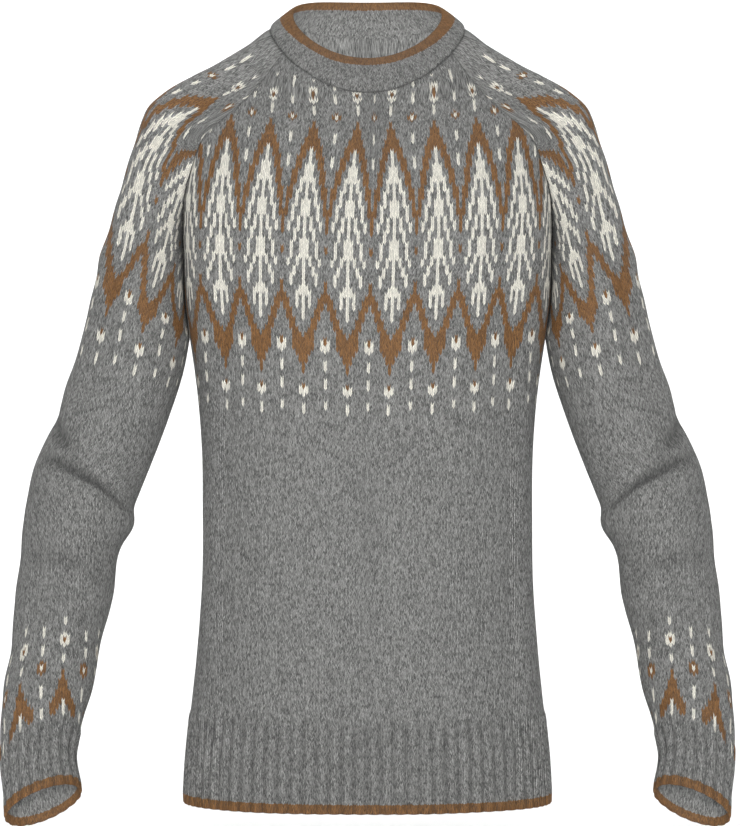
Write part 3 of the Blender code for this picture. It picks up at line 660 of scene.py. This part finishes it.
# Neck band: the section is carried round between the seam's ring and the top ring
def makeNeckBand(name):
    a = np.linspace(0.0, 2 * np.pi, bandPlan["columns"] + 1)
    base, top = ringPoints(neck, a), ringPoints(neckTop, a)
    rise = top - base
    around = np.gradient(base, axis=0)
    around[[0, -1]] = base[1] - base[-2]
    out = unit(np.cross(around, rise))
    base = base + unit(rise) * cloth["gap"]
    section = np.array(bandSection)
    steps = np.linalg.norm(np.diff(section * [bandPlan["tallness"], 1.0], axis=0), axis=1)
    knots = np.concatenate([[0.0], np.cumsum(steps)])
    line = through(knots, section, np.linspace(0.0, knots[-1], bandPlan["sectionSteps"] + 1))
    up, inwards = line[:, 0][:, None, None], line[:, 1][:, None, None]
    points = base + (top - base) * up - out * inwards * cloth["bandWall"]
    wave = sum(size * np.sin(count * a + turn) for size, count, turn in bandPlan["waves"])
    points = points + out * wave[None, :, None] * np.sin(np.pi * np.clip(up, 0.0, 1.0))
    ids = np.arange(len(line) * len(a)).reshape(len(line), len(a))
    weld = ids.copy()
    weld[:, -1] = weld[:, 0]
    shut = np.vstack([ids, ids[:1]])
    along = np.linalg.norm(np.diff(points, axis=0), axis=2)
    run = np.concatenate([np.zeros((1, len(a))), np.cumsum(along, axis=0)])
    crest = int(np.argmax(line[:, 0]))
    wales = np.repeat(np.linspace(0.0, bandPlan["wales"], len(a))[None, :], len(line), axis=0)
    stitch = np.stack([wales, offChart["band"] + run / cloth["rowHeight"]], axis=-1)
    edge = np.abs(run - run[crest] + bandPlan["tipShift"]) / cloth["rowHeight"]
    # Painted shade along the band's sewn base
    shade = seamLook["neckShade"] * np.exp(-(run / seamLook["reach"]) ** 2)
    return makePiece(name, points.reshape(-1, 3), [quadGrid(shut)], weld.ravel(), stitch.reshape(-1, 2),
                     {"edgeRows": edge, "shade": shade})


neckBand = makeNeckBand("sweater_neck_band")
print("made the neck band")

# Yarns, as linear colours
yarns = {
    "grey": (0.205, 0.206, 0.199, 1.0), "brown": (0.2, 0.095, 0.03, 1.0), "white": (0.78, 0.755, 0.67, 1.0),
}
stitchLook = {
    "lean": 2.6, "wobble": 0.45, "driftScale": 0.9, "legAt": 0.26, "legNarrow": 4.0,
    "dip": 0.75, "dipPower": 3.0, "streakAcross": 3.4, "streakAlong": 0.9, "tipRagged": 0.5,
}
woolLook = {
    "tone": 1.0, "streak": 2.2, "fibre": 0.9, "fibreScale": 1400.0,  # marl, by leg, by streak and by fibre
    "brownCalm": 0.4, "whiteCalm": 0.7,  # how much less these yarns are marled
    # grooveShade and shade are painted shade, by a stitch's height and from the shade attribute; darkest is
    # the floor they bring the colour down to
    "grooveShadeLevel": 0.6, "grooveShade": 0.55, "shade": 0.38, "darkest": 0.25,
    "bump": 0.0012, "fibreBump": 0.6, "roughness": 0.86, "roughnessRange": 0.12,
    "specular": 0.15, "sheen": 0.08, "sheenRoughness": 0.6,
}

# The yoke's chart, a column of the half repeat at a time, from its axis (0) to
# the edge of the repeat (7): yarn, first row and last row, counted downwards
yokeChart = [
    [("white", 0, 0), ("white", 4, 4), ("brown", 5, 6), ("white", 7, 8), ("white", 10, 13), ("brown", 17, 27),
     ("white", 28, 96), ("brown", 104, 117), ("brown", 122, 123), ("white", 124, 126), ("white", 130, 133)],
    [("white", 4, 5), ("white", 7, 7), ("brown", 20, 28), ("white", 34, 40), ("white", 48, 54),
     ("white", 64, 71), ("white", 83, 86), ("brown", 102, 113), ("white", 123, 125)],
    [("brown", 24, 31), ("white", 39, 44), ("white", 55, 60), ("white", 71, 74), ("white", 85, 91),
     ("brown", 100, 110)],
    [("brown", 27, 35), ("white", 44, 50), ("white", 60, 64), ("white", 75, 78), ("brown", 96, 108)],
    [("brown", 31, 41), ("white", 50, 56), ("white", 65, 71), ("white", 78, 82), ("brown", 92, 100)],
    [("brown", 36, 47), ("white", 57, 60), ("white", 72, 74), ("brown", 88, 96)],
    [("brown", 14, 15), ("brown", 43, 54), ("brown", 86, 92), ("white", 105, 108)],
    [("white", 0, 3), ("white", 6, 8), ("brown", 13, 13), ("white", 14, 15), ("brown", 16, 16),
     ("white", 22, 25), ("white", 31, 34), ("brown", 52, 61), ("brown", 67, 69), ("brown", 81, 89),
     ("brown", 104, 106), ("white", 107, 109), ("white", 113, 116), ("white", 120, 123),
     ("white", 129, 131)],
]
cuffChart = [
    [("white", 0, 2), ("white", 6, 7), ("brown", 8, 9), ("white", 10, 11), ("white", 15, 17),
     ("brown", 21, 32), ("white", 33, 38)],
    [("white", 7, 10), ("brown", 25, 34)],
    [("brown", 29, 36)],
    [("brown", 32, 38)],
    [("brown", 34, 38)],
    [],
    [("brown", 18, 21)],
    [("white", 4, 7), ("white", 11, 14), ("brown", 17, 18), ("white", 19, 20), ("brown", 21, 22),
     ("white", 27, 31), ("white", 36, 39)],
]
chartCodes = {"grey": (0.0, 0.0, 0.0, 1.0), "brown": (1.0, 0.0, 0.0, 1.0), "white": (0.0, 1.0, 0.0, 1.0)}
charts = {"upper": (yokeChart, 0, 67), "lower": (yokeChart, 67, 67), "cuff": (cuffChart, 0, 41)}
cuffFirstRow = 239.0  # the cuff chart's first row, counted down from the neck


class Net:
    # A node tree with short calls. Inputs are values or sockets, by name or number
    def __init__(self, tree):
        self.tree = tree

    def put(self, socket, value):
        if isinstance(value, bpy.types.NodeSocket):
            self.tree.links.new(value, socket)
        else:
            socket.default_value = value

    def node(self, kind, ins=None, **values):
        node = self.tree.nodes.new(kind)
        for key, value in values.items():
            setattr(node, key, value)
        for key, value in (ins or {}).items():
            self.put(node.inputs[key], value)
        return node

    def math(self, operation, *values):
        return self.node("ShaderNodeMath", dict(enumerate(values)), operation=operation).outputs[0]

    def vector(self, operation, *values):
        return self.node("ShaderNodeVectorMath", dict(enumerate(values)), operation=operation).outputs[0]

    def mix(self, share, a, b, blend="MIX"):
        ins = {"Factor": share, "A": a, "B": b}
        return self.node("ShaderNodeMix", ins, data_type="RGBA", blend_type=blend).outputs["Result"]

    def combine(self, x, y, z):
        return self.node("ShaderNodeCombineXYZ", {0: x, 1: y, 2: z}).outputs[0]

    def noise(self, vector, scale, detail, dimensions="3D", out="Fac"):
        ins = {"Vector": vector, "Scale": scale, "Detail": detail}
        return self.node("ShaderNodeTexNoise", ins, noise_dimensions=dimensions).outputs[out]


def makeGroup(name, ins, outs):
    group = bpy.data.node_groups.new(name, "ShaderNodeTree")
    for socketName, kind in ins:
        group.interface.new_socket(socketName, in_out="INPUT", socket_type=kind)
    for socketName, kind in outs:
        group.interface.new_socket(socketName, in_out="OUTPUT", socket_type=kind)
    net = Net(group)
    return group, net, net.node("NodeGroupInput").outputs, net.node("NodeGroupOutput").inputs


# Reads a chart: a ramp along the rows for each column, chosen by column number
def makeChartGroup(name, chart, first, count):
    group, net, ins, outs = makeGroup(name, [("Column", "NodeSocketFloat"), ("Row", "NodeSocketFloat")],
                                      [("Yarn", "NodeSocketColor")])
    counted = net.math("ADD", net.math("SUBTRACT", ins["Row"], float(first)), 0.5)
    place = net.math("DIVIDE", counted, float(count))
    inside = net.math("COMPARE", place, 0.5, 0.5)
    result = chartCodes["grey"]
    for column, spans in enumerate(chart):
        node = net.node("ShaderNodeValToRGB")
        ramp = node.color_ramp
        ramp.interpolation = "CONSTANT"
        stops = {0: "grey"}
        for yarn, start, end in spans:
            if end < first or start >= first + count:
                continue
            stops[max(start - first, 0)] = yarn
            stops.setdefault(end - first + 1, "grey")
        stops = sorted((row, yarn) for row, yarn in stops.items() if row < count)
        ramp.elements.remove(ramp.elements[1])
        ramp.elements[0].position = 0.0
        ramp.elements[0].color = chartCodes[stops[0][1]]
        for row, yarn in stops[1:]:
            ramp.elements.new(row / count).color = chartCodes[yarn]
        net.put(node.inputs["Fac"], place)
        here = net.math("COMPARE", ins["Column"], float(column), 0.5)
        result = net.mix(here, result, node.outputs["Color"])
    net.put(outs["Yarn"], net.mix(inside, chartCodes["grey"], result))
    return group


# Splits the stitch UV into stitches. Each one is a V whose two legs lean up and
# out: its row is floor(v + lean * (offset - 0.25)), offset being 0 to 0.5
def makeStitchGroup():
    group, net, ins, outs = makeGroup(
        "stitchCells",
        [("UV", "NodeSocketVector"), ("Repeat", "NodeSocketFloat"), ("Lean", "NodeSocketFloat"),
         ("Wobble", "NodeSocketFloat")],
        [("Column", "NodeSocketFloat"), ("Row", "NodeSocketFloat"), ("Height", "NodeSocketFloat"),
         ("Tone", "NodeSocketFloat"), ("Streak", "NodeSocketFloat")])
    look = stitchLook
    # The wool's drift moves each place by up to half the wobble
    drift = net.noise(ins["UV"], look["driftScale"], 2.0, "2D", "Color")
    drift = {0: net.vector("SUBTRACT", drift, (0.5, 0.5, 0.5)), "Scale": ins["Wobble"]}
    drift = net.node("ShaderNodeVectorMath", drift, operation="SCALE").outputs[0]
    parts = net.node("ShaderNodeSeparateXYZ", {0: net.vector("ADD", ins["UV"], drift)}).outputs
    u, v = parts["X"], parts["Y"]
    wale = net.math("FLOOR", net.math("ADD", u, 0.5))
    offset = net.math("ABSOLUTE", net.math("SUBTRACT", u, wale))
    raised = net.math("ADD", v, net.math("MULTIPLY", net.math("SUBTRACT", offset, 0.25), ins["Lean"]))
    row = net.math("FLOOR", raised)
    # Column: distance from the nearest axis of the repeat, in whole stitches
    half = net.math("MULTIPLY", ins["Repeat"], 0.5)
    turned = net.math("FLOORED_MODULO", net.math("ADD", wale, half), ins["Repeat"])
    net.put(outs["Column"], net.math("ABSOLUTE", net.math("SUBTRACT", turned, half)))
    net.put(outs["Row"], row)
    # Height: a leg is round across (1 - d^2) and dips where one stitch meets the next
    across = net.math("MULTIPLY", net.math("SUBTRACT", offset, look["legAt"]), look["legNarrow"])
    leg = net.math("MAXIMUM", net.math("SUBTRACT", 1.0, net.math("MULTIPLY", across, across)), 0.0)
    along = net.math("MULTIPLY", net.math("SUBTRACT", net.math("SUBTRACT", raised, row), 0.5), 2.0)
    ends = net.math("POWER", net.math("ABSOLUTE", along), look["dipPower"])
    dip = net.math("SUBTRACT", 1.0, net.math("MULTIPLY", ends, look["dip"]))
    net.put(outs["Height"], net.math("MULTIPLY", leg, dip))
    # Tone: one random value a leg, and a streak a few rows long
    cell = net.combine(net.math("FLOOR", net.math("MULTIPLY", u, 2.0)), row, 0.0)
    random = net.node("ShaderNodeTexWhiteNoise", {"Vector": cell}, noise_dimensions="2D")
    net.put(outs["Tone"], random.outputs["Value"])
    streakAt = net.combine(net.math("MULTIPLY", u, look["streakAcross"]),
                           net.math("MULTIPLY", v, look["streakAlong"]), 0.0)
    net.put(outs["Streak"], net.noise(streakAt, 1.0, 3.0, "2D"))
    return group


# Turns yarn, tone and streak into the colour of marled wool, with painted shade
# from the stitch height and from the shade attribute
def makeWoolGroup():
    group, net, ins, outs = makeGroup(
        "marledWool",
        [("Yarn", "NodeSocketColor"), ("Tone", "NodeSocketFloat"), ("Streak", "NodeSocketFloat"),
         ("Height", "NodeSocketFloat"), ("Shade", "NodeSocketFloat"), ("Place", "NodeSocketVector")],
        [("Color", "NodeSocketColor"), ("Bump", "NodeSocketFloat"), ("Roughness", "NodeSocketFloat")])
    look = woolLook
    masks = net.node("ShaderNodeSeparateColor", {0: ins["Yarn"]}).outputs
    base = net.mix(masks["Red"], yarns["grey"], yarns["brown"])
    base = net.mix(masks["Green"], base, yarns["white"])
    fibre = net.noise(ins["Place"], look["fibreScale"], 3.0)
    marl = [net.math("MULTIPLY", net.math("SUBTRACT", source, 0.5), look[key])
            for key, source in (("tone", ins["Tone"]), ("streak", ins["Streak"]), ("fibre", fibre))]
    marl = net.math("ADD", net.math("ADD", marl[0], marl[1]), marl[2])
    depth = net.math("SUBTRACT", 1.0, net.math("MULTIPLY", masks["Red"], look["brownCalm"]))
    depth = net.math("SUBTRACT", depth, net.math("MULTIPLY", masks["Green"], look["whiteCalm"]))
    # Painted shade and highlight: the low parts of each stitch are darker, its crowns lighter
    grooveShade = net.math("MULTIPLY", net.math("SUBTRACT", ins["Height"], look["grooveShadeLevel"]), look["grooveShade"])
    value = net.math("ADD", 1.0, net.math("ADD", net.math("MULTIPLY", marl, depth), grooveShade))
    # Painted shade from the shade attribute: rib furrows, seams, neck edge and creases
    light = net.math("SUBTRACT", 1.0, net.math("MULTIPLY", ins["Shade"], look["shade"]))
    value = net.math("MAXIMUM", net.math("MULTIPLY", value, light), look["darkest"])
    tint = net.node("ShaderNodeHueSaturation", {"Color": base, "Value": value})
    net.put(outs["Color"], tint.outputs["Color"])
    net.put(outs["Bump"], net.math("ADD", ins["Height"], net.math("MULTIPLY", fibre, look["fibreBump"])))
    roughness = net.math("ADD", look["roughness"], net.math("MULTIPLY", fibre, look["roughnessRange"]))
    net.put(outs["Roughness"], roughness)
    return group


chartGroups = {name: makeChartGroup("chart_" + name, *values) for name, values in charts.items()}
stitchGroup = makeStitchGroup()
woolGroup = makeWoolGroup()


# Knitted wool: the charts named are read at the stitch, and the rows from a cut
# edge up to about tipRows are brown. Sheen is the pale fuzz of the felted surface
def makeKnit(name, chartNames, tipRows):
    material = bpy.data.materials.new(name)
    material.use_nodes = True
    net = Net(material.node_tree)
    shader = material.node_tree.nodes["Principled BSDF"]
    uv = net.node("ShaderNodeUVMap", uv_map="stitches").outputs[0]
    ins = {"UV": uv, "Repeat": repeat, "Lean": stitchLook["lean"], "Wobble": stitchLook["wobble"]}
    cells = net.node("ShaderNodeGroup", ins, node_tree=stitchGroup).outputs
    yarn = chartCodes["grey"]
    for chartName in chartNames:
        row = net.math("SUBTRACT", cells["Row"], cuffFirstRow) if chartName == "cuff" else cells["Row"]
        place = {"Column": cells["Column"], "Row": row}
        chart = net.node("ShaderNodeGroup", place, node_tree=chartGroups[chartName])
        yarn = net.mix(1.0, yarn, chart.outputs["Yarn"], "ADD")
    # The shade attribute carries painted shade into the colour
    edge, shade = (net.node("ShaderNodeAttribute", attribute_name=key).outputs["Fac"]
                   for key in ("edgeRows", "shade"))
    ragged = net.math("ADD", edge, net.math("MULTIPLY", cells["Tone"], stitchLook["tipRagged"]))
    yarn = net.mix(net.math("LESS_THAN", ragged, tipRows), yarn, chartCodes["brown"])
    wool = net.node("ShaderNodeGroup", {
        **{key: cells[key] for key in ("Tone", "Streak", "Height")}, "Yarn": yarn, "Shade": shade,
        "Place": net.node("ShaderNodeTexCoord").outputs["Object"]}, node_tree=woolGroup).outputs
    bump = net.node("ShaderNodeBump", {"Strength": 1.0, "Distance": woolLook["bump"], "Height": wool["Bump"]})
    for key, value in (("Base Color", wool["Color"]), ("Roughness", wool["Roughness"]),
                       ("Normal", bump.outputs["Normal"]), ("Specular IOR Level", woolLook["specular"]),
                       ("Sheen Weight", woolLook["sheen"]), ("Sheen Roughness", woolLook["sheenRoughness"])):
        net.put(shader.inputs[key], value)
    return material


bodyKnit = makeKnit("body_knit", ["upper", "lower"], 3.7)
sleeveKnit = makeKnit("sleeve_knit", ["upper", "lower", "cuff"], 3.4)
bandKnit = makeKnit("band_knit", [], 5.2)
print("made the materials")

# Piece, its node, its cut size in metres and the cut's area where it isn't a rectangle
cutPieces = [
    (front, "front", (0.51, 0.77), 0.33, bodyKnit, "knit_wool"),
    (back, "back", (0.49, 0.78), 0.32, bodyKnit, "knit_wool"),
    (sleeveLeft, "sleeve_left", (0.35, 0.83), 0.215, sleeveKnit, "knit_wool"),
    (sleeveRight, "sleeve_right", (0.35, 0.83), 0.215, sleeveKnit, "knit_wool"),
    (neckBand, "collar", (0.52, 0.035), None, bandKnit, "band_wool"),
]
for piece, node, flat, area, material, slot in cutPieces:
    piece.data.materials.append(material)
    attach(piece, "root")
    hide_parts(node)

# Studio: a pale sweep, a large soft front light, weak lights in the neck and the
# cuffs, a light on the wall, and the camera
studio = {
    "floorZ": -0.735, "halfWidth": 4.0, "near": -3.0, "far": 1.6, "bend": 0.8, "height": 3.4,
    "paper": (0.92, 0.92, 0.92, 1.0), "paperRoughness": 0.9, "skyStrength": 0.2,
}
lights = {  # place, target, size in metres and power in watts
    "front_light": ((0.0, -4.3, -0.1), (0.0, 0.0, -0.3), (1.4, 1.1), 238.0),
    "neck_light": ((0.0, -0.03, -0.22), (0.0, 0.06, 0.03), (0.1, 0.1), 0.75),
    "left_cuff_light": ((0.286, -0.105, -0.63), (0.291, -0.12, -0.69), (0.02, 0.02), 0.03),
    "right_cuff_light": ((-0.286, -0.105, -0.63), (-0.291, -0.12, -0.69), (0.02, 0.02), 0.03),
    "wall_light": ((0.0, 0.6, 2.2), (0.0, 2.4, 0.0), (3.0, 0.8), 90.0),
}
cameraPlan = {
    "distance": 4.0, "height": -0.3376, "pixel": 0.00093, "pictureHeight": 826, "pictureWidth": 740,
    "middle": 367.5,  # the column of the picture where X is 0
}


# Sweep: flat floor, a quarter circle of radius bend, and a wall
def makeSweep():
    turn = np.linspace(0.0, math.pi / 2, 25)
    far, bend = studio["far"], studio["bend"]
    y = np.concatenate([[studio["near"]], far + bend * np.sin(turn), [far + bend]])
    z = np.concatenate([[0.0], bend * (1 - np.cos(turn)), [studio["height"]]]) + studio["floorZ"]
    x = np.array([-studio["halfWidth"], studio["halfWidth"]])
    points = np.stack([np.tile(x, len(y)), np.repeat(y, 2), np.repeat(z, 2)], axis=1)
    mesh = bpy.data.meshes.new("sweep")
    mesh.from_pydata(points.tolist(), [], quadGrid(np.arange(2 * len(y)).reshape(-1, 2)).tolist())
    mesh.shade_smooth()
    sweep = bpy.data.objects.new("sweep", mesh)
    bpy.context.scene.collection.objects.link(sweep)
    material = bpy.data.materials.new("pale_paper")
    material.use_nodes = True
    net = Net(material.node_tree)
    shader = material.node_tree.nodes["Principled BSDF"]
    shader.inputs["Base Color"].default_value = studio["paper"]
    shader.inputs["Roughness"].default_value = studio["paperRoughness"]
    # The paper is seen through from behind, so that it doesn't hide the sweater's back
    side = net.node("ShaderNodeMixShader", {
        0: net.node("ShaderNodeNewGeometry").outputs["Backfacing"], 1: shader.outputs[0],
        2: net.node("ShaderNodeBsdfTransparent").outputs[0]})
    net.put(material.node_tree.nodes["Material Output"].inputs["Surface"], side.outputs[0])
    mesh.materials.append(material)


def makeLight(name, place, target, size, power):
    light = bpy.data.lights.new(name, "AREA")
    light.shape = "RECTANGLE"
    light.size, light.size_y = size
    light.energy = power
    lamp = bpy.data.objects.new(name, light)
    bpy.context.scene.collection.objects.link(lamp)
    lamp.visible_camera = False
    lamp.location = place
    way = np.array(target) - np.array(place)
    flat = math.hypot(way[0], way[1])
    lamp.rotation_euler = (math.pi / 2 + math.atan2(way[2], flat), 0.0, math.atan2(-way[0], way[1]))


makeSweep()
for lightName, values in lights.items():
    makeLight(lightName, *values)
world = bpy.data.worlds.new("studio")
bpy.context.scene.world = world
world.use_nodes = True
world.node_tree.nodes["Background"].inputs["Color"].default_value = (1.0, 1.0, 1.0, 1.0)
world.node_tree.nodes["Background"].inputs["Strength"].default_value = studio["skyStrength"]

camera = bpy.data.cameras.new("camera")
camera.sensor_width = 36.0
pictureSize = cameraPlan["pixel"] * cameraPlan["pictureHeight"]  # metres across, at the sweater
camera.lens = camera.sensor_width * cameraPlan["distance"] / pictureSize
camera.shift_x = (cameraPlan["pictureWidth"] / 2 - cameraPlan["middle"]) / cameraPlan["pictureHeight"]
cameraObject = bpy.data.objects.new("camera", camera)
bpy.context.scene.collection.objects.link(cameraObject)
cameraObject.location = (0.0, -cameraPlan["distance"], cameraPlan["height"])
cameraObject.rotation_euler = (math.pi / 2, 0.0, 0.0)
bpy.context.scene.camera = cameraObject
bpy.context.scene.view_settings.view_transform = "Standard"
print("made the studio")
